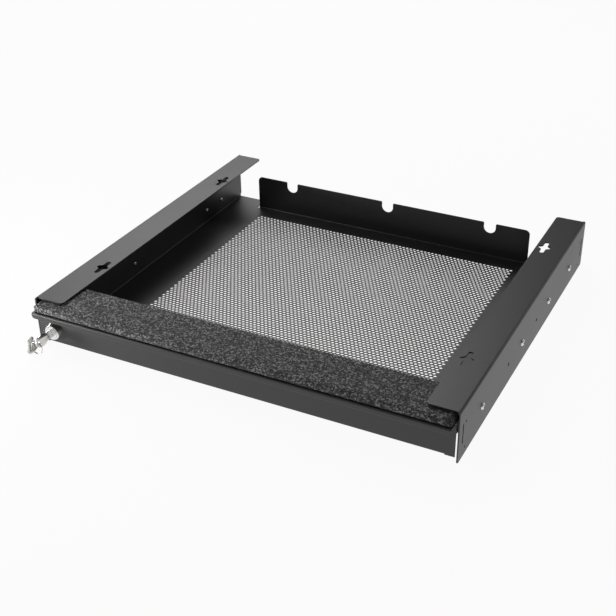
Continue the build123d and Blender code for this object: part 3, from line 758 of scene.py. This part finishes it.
def wrist_pad(material):
    """Foam strip: crowned across, its edges rounded over, its skin a little uneven."""
    low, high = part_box("wrist_pad")
    profile = pad_profile(low[1], high[1], low[2], high[2])
    length = high[0] - low[0]
    middle_y = (low[1] + high[1]) / 2

    def ring_of(work, share):
        x = low[0] + length * share
        end = min(x - low[0], high[0] - x)
        drop = 0.0
        if end < PAD_ROUND:
            drop = PAD_ROUND - math.sqrt(max(PAD_ROUND**2 - (PAD_ROUND - end) ** 2, 0.0))
        reach = (high[1] - low[1]) / 2 - drop
        ring = []
        for y, z in profile:
            height = (z - low[2]) / (high[2] - low[2])
            along = math.sin(PAD_WAVE_ALONG * x + PAD_WAVE_START)
            wave = PAD_WAVE * (1 + along * math.sin(PAD_SKEW_ALONG * x + PAD_SKEW_ACROSS * y)) / 2
            lowered = z if z <= low[2] else min(z - wave * height, high[2] - PAD_CROWN * height - drop)
            kept = max(min(y - middle_y, reach), -reach)
            ring.append(work.verts.new((x, middle_y + kept, lowered)))
        return ring

    def build(work):
        ends = PAD_ROUND / length
        shares = []
        for step in range(PAD_ROUND_STEPS + 1):
            shares.append(ends * (1 - math.cos(math.pi / 2 * step / PAD_ROUND_STEPS)))
        middle = [ends + (1 - 2 * ends) * step / PAD_STEPS_ALONG for step in range(1, PAD_STEPS_ALONG)]
        rings = [ring_of(work, share) for share in shares + middle + [1 - share for share in shares[::-1]]]
        count = len(profile)
        for one, other in zip(rings, rings[1:]):
            for number in range(count):
                after = (number + 1) % count
                work.faces.new([one[number], other[number], other[after], one[after]])
        work.faces.new(rings[0])
        work.faces.new(rings[-1][::-1])
        bmesh.ops.remove_doubles(work, verts=work.verts[:], dist=MERGE_DISTANCE)
        bmesh.ops.recalc_face_normals(work, faces=work.faces[:])

    mesh = mesh_from("foam_wrist_pad", build)
    smooth(mesh, PAD_SMOOTH_ANGLE)
    piece = dress(link("foam_wrist_pad", mesh, material), "grey_foam", "drawer", "wrist_pad")


# Screws and balls
def screw_tree():
    """Domed head with a cross recess and a plain shank on each point, facing out or in across X."""
    tree, graph, given = new_tree(
        "cross_recess_screws",
        [
            ("Head", "Float", BRACKET_HEAD),
            ("Height", "Float", BRACKET_HEAD_HEIGHT),
            ("Shank", "Float", BRACKET_SHANK),
            ("Shank Length", "Float", BRACKET_SHANK_LENGTH),
            ("Facing", "Float", 1.0),
            ("Sides", "Int", SCREW_SIDES),
        ],
    )
    head = given["Head"]
    height = given["Height"]
    ball = graph.wire(
        "GeometryNodeMeshUVSphere", {}, {"Segments": given["Sides"], "Rings": SCREW_RINGS, "Radius": 0.5}
    )
    dome = moved(graph, ball, Scale=graph.vector(head, head, 2.0 * height))
    below = graph.wire(
        "GeometryNodeMeshCube", {}, {"Size": graph.vector(2.0 * head, 2.0 * head, 2.0 * height)}
    )
    cuts = [moved(graph, below, Translation=graph.vector(0.0, 0.0, -1.0 * height))]
    for across, along in (
        (RECESS_LENGTH_SHARE, RECESS_WIDTH_SHARE),
        (RECESS_WIDTH_SHARE, RECESS_LENGTH_SHARE),
    ):
        bar = graph.wire(
            "GeometryNodeMeshCube", {}, {"Size": graph.vector(head * across, head * along, height)}
        )
        rise = graph.vector(0.0, 0.0, height * (0.5 + 1.0 - RECESS_DEPTH_SHARE))
        cuts.append(moved(graph, bar, Translation=rise))
    cut = graph.wire(
        "GeometryNodeMeshBoolean",
        {"operation": "DIFFERENCE", "solver": "EXACT"},
        {"Mesh 1": dome, "Mesh 2": cuts, "Self Intersection": True},
    )
    shank = graph.wire(
        "GeometryNodeMeshCylinder",
        {},
        {"Vertices": given["Sides"], "Radius": given["Shank"] / 2.0, "Depth": given["Shank Length"]},
    )
    placed_shank = moved(
        graph, shank, Translation=graph.vector(0.0, 0.0, given["Shank Length"] * -0.5)
    )
    screw = graph.wire("GeometryNodeJoinGeometry", {}, {"Geometry": [cut, placed_shank]})
    place = graph.wire("GeometryNodeInputPosition")
    x = graph.wire("ShaderNodeSeparateXYZ", {}, {"Vector": place}, "X")
    direction = graph.vector(graph.maths("SIGN", x) * given["Facing"], 0.0, 0.0)
    turn = graph.wire("FunctionNodeAlignRotationToVector", {"axis": "Z"}, {"Vector": direction})
    copies = graph.wire(
        "GeometryNodeInstanceOnPoints",
        {},
        {"Points": given["Geometry"], "Instance": screw, "Rotation": turn},
    )
    finish_tree(graph, given, copies)
    return tree


def ball_tree():
    """Smooth ball on each point."""
    tree, graph, given = new_tree("slide_balls", [("Radius", "Float", BALL_RADIUS)])
    sizes = {"Segments": BALL_SIDES, "Rings": BALL_RINGS, "Radius": given["Radius"]}
    ball = graph.wire("GeometryNodeMeshUVSphere", {}, sizes)
    copies = graph.wire(
        "GeometryNodeInstanceOnPoints", {}, {"Points": given["Geometry"], "Instance": ball}
    )
    finish_tree(graph, given, copies)
    return tree


def small_steel_pieces(screw_material, ball_material):
    """Screws of the brackets and the tray, and the balls of the slides."""
    tree = screw_tree()
    low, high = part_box("bracket_screws")
    height = (low[2] + high[2]) / 2
    seat = high[0] - BRACKET_HEAD_HEIGHT
    places = [(side * seat, y, height) for side in (-1, 1) for y in BRACKET_SCREW_Y]
    heads = grown("bracket_pan_screws", tree, {}, screw_material, places)
    smooth(heads.data)
    dress(heads, "screw_steel", "brackets", "bracket_screws")
    seat = tray_screw_seat()
    places = [(side * seat, y, height) for side in (-1, 1) for y in TRAY_SCREW_Y]
    sizes = {
        "Head": TRAY_HEAD,
        "Height": TRAY_HEAD_HEIGHT,
        "Shank": TRAY_SHANK,
        "Shank Length": TRAY_SHANK_LENGTH,
        "Facing": -1.0,
    }
    heads = grown("tray_pan_screws", tree, sizes, screw_material, places)
    smooth(heads.data)
    dress(heads, "screw_steel", "drawer", "tray_screws")
    tree = ball_tree()
    for node, body in (("outer_balls", "outer_cages"), ("inner_balls", "inner_cages")):
        low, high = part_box(node)
        x = high[0] - BALL_RADIUS
        rows = (low[2] + BALL_RADIUS, high[2] - BALL_RADIUS)
        places = [(side * x, y, z) for side in (-1, 1) for z in rows for y in BALL_Y]
        balls = grown("steel_" + node, tree, {}, ball_material, places)
        smooth(balls.data)
        dress(balls, "ball_steel", body, node)


def tray_screw_seat():
    """Distance from the middle to the inner faces of the tray's sides."""
    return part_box("tray_right_side")[1][0] - TRAY_SHEET


# Lock
def boxes(name, corners):
    """Mesh of boxes, each between a low and a high corner."""

    def build(work):
        for low, high in corners:
            made = bmesh.ops.create_cube(work, size=1.0)
            for vertex in made["verts"]:
                vertex.co = [(a + b) / 2 + (b - a) * c for a, b, c in zip(low, high, vertex.co)]

    return mesh_from(name, build)


def carved(name, mesh, cutter):
    """Mesh with another mesh cut out of it."""
    carrier = link(name + "_stock", mesh)
    tool = link(name + "_cutter", cutter)
    modifier = carrier.modifiers.new("cut", "BOOLEAN")
    modifier.operation = "DIFFERENCE"
    modifier.solver = "EXACT"
    modifier.object = tool
    result = evaluated_mesh(carrier)
    result.name = name
    bpy.data.objects.remove(tool)
    return result


def turned(name, profile):
    """Solid of revolution about Y from a closed profile of (radius, y)."""

    def build(work):
        rings = []
        for step in range(LOCK_STEPS):
            angle = 2 * math.pi * step / LOCK_STEPS
            ring = [work.verts.new((r * math.cos(angle), y, r * math.sin(angle))) for r, y in profile]
            rings.append(ring)
        for ring, other in zip(rings, rings[1:] + rings[:1]):
            for number in range(len(profile)):
                after = (number + 1) % len(profile)
                work.faces.new([ring[number], ring[after], other[after], other[number]])
        bmesh.ops.recalc_face_normals(work, faces=work.faces[:])

    return mesh_from(name, build)


def lock_housing(material):
    """Lock head with eased rims, and a threaded barrel with two flats, bored for the plug."""
    low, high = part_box("lock_housing")
    centre = ((low[0] + high[0]) / 2, (low[2] + high[2]) / 2)
    head_radius = (high[0] - low[0]) / 2
    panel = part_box("lock_nut")[0][1] - TRAY_SHEET
    face_radius = head_radius - HEAD_TAPER
    profile = [
        (BORE_RADIUS, high[1]),
        (BORE_RADIUS, low[1] + WIDE_BORE_DEPTH),
        (WIDE_BORE_RADIUS, low[1] + WIDE_BORE_DEPTH),
        (WIDE_BORE_RADIUS, low[1] + HEAD_EASE / 2),
        (WIDE_BORE_RADIUS + HEAD_EASE / 2, low[1]),
        (face_radius - HEAD_EASE, low[1]),
        (face_radius - HEAD_EASE * HEAD_EASE_SHARE, low[1] + HEAD_EASE * HEAD_EASE_SHARE),
        (face_radius, low[1] + HEAD_EASE),
        (head_radius, panel - HEAD_EASE),
        (head_radius, panel),
        (BARREL_RADIUS, panel),
    ]
    ridges = int((high[1] - panel) / THREAD_PITCH) - THREAD_RUNOUT
    for number in range(ridges):
        y = panel + (number + THREAD_START) * THREAD_PITCH
        profile += [(BARREL_RADIUS, y), (BARREL_RADIUS - THREAD_DEPTH, y + THREAD_PITCH / 2)]
    profile.append((BARREL_RADIUS, high[1] - HEAD_EASE))
    profile.append((BARREL_RADIUS - HEAD_EASE, high[1]))
    reach = 2 * head_radius
    flats = [
        ((-reach, panel, BARREL_HALF_FLATS), (reach, high[1] + reach, reach)),
        ((-reach, panel, -reach), (reach, high[1] + reach, -BARREL_HALF_FLATS)),
    ]
    mesh = carved("lock_head_and_barrel", turned("lock_stock", profile), boxes("lock_flats", flats))
    mesh.transform(Matrix.Translation((centre[0], 0, centre[1])))
    smooth(mesh)
    piece = link("lock_head_and_barrel", mesh, material)
    dress(piece, "lock_chrome", "drawer", "lock_housing")


# Keys and ring
def key_outline():
    """Outline of a key about its bow's hole, with the blade along the first axis."""
    bow_middle = BOW_LENGTH / 2 - BOW_HOLE_INSET
    shoulder = BOW_LENGTH - BOW_HOLE_INSET + NECK_LENGTH
    tip = shoulder + BLADE_LENGTH
    half = BLADE_HEIGHT / 2
    joint = math.asin(NECK_HEIGHT / BOW_HEIGHT)
    path = []
    for step in range(BOW_STEPS + 1):
        angle = joint + (2 * math.pi - 2 * joint) * step / BOW_STEPS
        path.append((bow_middle + BOW_LENGTH / 2 * math.cos(angle), BOW_HEIGHT / 2 * math.sin(angle)))
    path += [(shoulder, -NECK_HEIGHT / 2), (shoulder, -half), (tip - BLADE_TIP, -half)]
    path += [(tip, BLADE_TIP - half), (tip, half - BLADE_TIP / 2), (tip - BLADE_TIP, half)]
    for place in reversed(BLADE_CUTS):
        middle = shoulder + place
        path.append((middle + BLADE_CUT_DEPTH, half))
        path.append((middle, half - BLADE_CUT_DEPTH))
        path.append((middle - BLADE_CUT_DEPTH, half))
    return path + [(shoulder, half), (shoulder, NECK_HEIGHT / 2)]


def key_mesh(name):
    """Flat key with eased edges and a milled groove on each side of its blade."""
    hole = []
    for step in range(BOW_STEPS):
        angle = 2 * math.pi * step / BOW_STEPS
        hole.append((BOW_HOLE_RADIUS * math.cos(angle), BOW_HOLE_RADIUS * math.sin(angle)))
    plate = plate_mesh(name + "_blank", [key_outline(), hole], KEY_THICKNESS, KEY_EASE)
    shoulder = BOW_LENGTH - BOW_HOLE_INSET + NECK_LENGTH
    end = shoulder + 2 * BLADE_LENGTH
    grooves = []
    for side in (-1, 1):
        depths = sorted([side * (KEY_THICKNESS / 2 - GROOVE_DEPTH), side * KEY_THICKNESS])
        heights = (-GROOVE_DROP - GROOVE_HEIGHT / 2, -GROOVE_DROP + GROOVE_HEIGHT / 2)
        grooves.append(((shoulder, heights[0], depths[0]), (end, heights[1], depths[1])))
    mesh = carved(name, plate, boxes(name + "_grooves", grooves))
    mesh.transform(Matrix(((0, 0, 1, 0), (1, 0, 0, 0), (0, 1, 0, 0), (0, 0, 0, 1))))
    smooth(mesh)
    return mesh


def keys(material):
    """The key in the lock and the spare one on the ring."""
    low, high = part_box("key")
    hole = ((low[0] + high[0]) / 2, low[1] + BOW_HOLE_INSET, (low[2] + high[2]) / 2)
    mesh = key_mesh("key_in_lock")
    mesh.transform(Matrix.Translation(hole))
    dress(link("key_in_lock", mesh, material), "key_nickel", "key", "key")
    low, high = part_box("key_ring")
    centre = [(one + other) / 2 for one, other in zip(low, high)]
    turn = math.radians(SPARE_RING_ANGLE)
    seat = Vector(centre) - RING_RADIUS * Vector((math.sin(turn), 0, math.cos(turn)))
    heading = Matrix.Rotation(math.radians(SPARE_HEADING), 4, "Z")
    dip = Matrix.Rotation(math.radians(-SPARE_DIP), 4, "X")
    roll = Matrix.Rotation(math.radians(SPARE_ROLL), 4, "Y")
    mesh = key_mesh("spare_key_on_ring")
    mesh.transform(
        Matrix.Translation(seat) @ heading @ dip @ roll @ Matrix.Translation((0, SPARE_SEAT, 0))
    )
    dress(link("spare_key_on_ring", mesh, material), "key_nickel", "spare_key", "spare_key")


def split_ring(material):
    """Two turns of round wire side by side, with a crossing between their ends."""
    low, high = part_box("key_ring")
    centre = [(one + other) / 2 for one, other in zip(low, high)]
    curve = bpy.data.curves.new("split_ring_wire", "CURVE")
    curve.dimensions = "3D"
    curve.bevel_depth = RING_WIRE_RADIUS
    curve.bevel_resolution = RING_WIRE_STEPS
    curve.use_fill_caps = True
    steps = int(2 * (1 - RING_SEAM) * RING_STEPS_PER_TURN)
    spline = curve.splines.new("POLY")
    spline.points.add(steps)
    for number, point in enumerate(spline.points):
        turn = RING_SEAM + 2 * (1 - RING_SEAM) * number / steps
        cross = min(max((turn - 1 + RING_SEAM) / (2 * RING_SEAM), 0.0), 1.0)
        eased = cross * cross * (3 - 2 * cross)
        angle = 2 * math.pi * turn
        x = centre[0] + RING_RADIUS * math.cos(angle)
        y = centre[1] + RING_WIRE_RADIUS * (2 * eased - 1)
        z = centre[2] + RING_RADIUS * math.sin(angle)
        point.co = (x, y, z, 1.0)
    mesh = evaluated_mesh(link("split_ring_curve", curve))
    mesh.name = "split_key_ring"
    smooth(mesh, RING_SMOOTH_ANGLE)
    dress(link("split_key_ring", mesh, material), "ring_steel", "key_ring", "key_ring")


# Studio
def studio():
    """Pale floor that keeps a soft shadow, a white surround and plain soft lamps."""
    material, graph = new_material("studio_floor")
    light_path = graph.add("ShaderNodeLightPath")
    seen = graph.maths(
        "MAXIMUM",
        Wire(graph, light_path.outputs["Is Camera Ray"]),
        Wire(graph, light_path.outputs["Is Glossy Ray"]),
    )
    diffuse = graph.wire("ShaderNodeBsdfDiffuse", {}, {"Color": grey(FLOOR_GREY)})
    glow = graph.wire("ShaderNodeEmission", {}, {"Color": grey(1.0), "Strength": 1.0})
    mixed = graph.wire("ShaderNodeMixShader", {}, {0: seen * FLOOR_GLOW, 1: diffuse, 2: glow})
    graph.add("ShaderNodeOutputMaterial", {}, {"Surface": mixed})

    def build(work):
        half = FLOOR_SIZE / 2
        corners = ((-half, -half), (half, -half), (half, half), (-half, half))
        work.faces.new([work.verts.new((x, y, cad_low[2])) for x, y in corners])

    link("studio_floor", mesh_from("studio_floor", build), material)

    world = bpy.data.worlds.new("studio_surround")
    bpy.context.scene.world = world
    world.use_nodes = True
    graph = Graph(world.node_tree)
    light_path = graph.add("ShaderNodeLightPath")
    seen = graph.maths(
        "MAXIMUM",
        Wire(graph, light_path.outputs["Is Camera Ray"]),
        Wire(graph, light_path.outputs["Is Transmission Ray"]),
    )
    room = graph.wire("ShaderNodeBackground", {}, {"Color": grey(ROOM_GREY), "Strength": ROOM_STRENGTH})
    white = graph.wire("ShaderNodeBackground", {}, {"Color": grey(1.0), "Strength": 1.0})
    mixed = graph.wire("ShaderNodeMixShader", {}, {0: seen, 1: room, 2: white})
    graph.add("ShaderNodeOutputWorld", {}, {"Surface": mixed})

    for name, (place, aim, size, power) in LAMPS.items():
        lamp(name, place, aim, size, power)


def lamp(name, place, aim, size, power):
    """Square soft box at a place, turned to its aim."""
    data = bpy.data.lights.new(name, "AREA")
    data.shape = "SQUARE"
    data.size = size
    data.energy = power
    piece = bpy.data.objects.new(name, data)
    bpy.context.scene.collection.objects.link(piece)
    piece.location = place
    piece.rotation_euler = (Vector(aim) - Vector(place)).to_track_quat("-Z", "Y").to_euler()


def camera():
    """Camera at the photograph's place, with its lens and its off-centre axis."""
    data = bpy.data.cameras.new("photo_camera")
    data.sensor_width = SENSOR_WIDTH
    data.lens = FOCAL_PIXELS / PHOTO_PIXELS * SENSOR_WIDTH
    data.shift_x = (PHOTO_PIXELS / 2 - CENTRE_PIXEL_X) / PHOTO_PIXELS
    data.clip_end = CAMERA_CLIP_END
    piece = bpy.data.objects.new("photo_camera", data)
    bpy.context.scene.collection.objects.link(piece)
    turn = Matrix.Rotation(math.radians(CAMERA_AZIMUTH), 4, "Z")
    tilt = Matrix.Rotation(math.radians(90 - CAMERA_ELEVATION), 4, "X")
    roll = Matrix.Rotation(math.radians(CAMERA_ROLL), 4, "Z")
    piece.matrix_world = Matrix.Translation(CAMERA_PLACE) @ turn @ tilt @ roll
    bpy.context.scene.camera = piece


camera()
studio()
finishes = {
    "black_steel": powder_coat(),
    "zinc_steel": plated_steel("bright_zinc", *ZINC),
    "cage_steel": plated_steel("plain_strip", *PLAIN_STRIP),
    "ball_steel": polished("polished_balls", *BALL_STEEL),
    "black_rubber": rubber(),
    "screw_steel": polished("screw_nickel", *SCREW_NICKEL),
    "grey_foam": foam(),
    "lock_chrome": polished("lock_chrome", *LOCK_CHROME),
    "key_nickel": polished("key_nickel", *KEY_NICKEL),
    "ring_steel": polished("ring_nickel", *RING_NICKEL),
}
for subpart in frame["record"]["subparts"]:
    for material_slot in nodes[subpart["node"]].material_slots:
        material_slot.material = finishes[subpart["material_slot"]]
perforated_floor(finishes["black_steel"])
wrist_pad(finishes["grey_foam"])
small_steel_pieces(finishes["screw_steel"], finishes["ball_steel"])
lock_housing(finishes["lock_chrome"])
keys(finishes["key_nickel"])
split_ring(finishes["ring_steel"])

bpy.context.scene.view_settings.view_transform = "Standard"
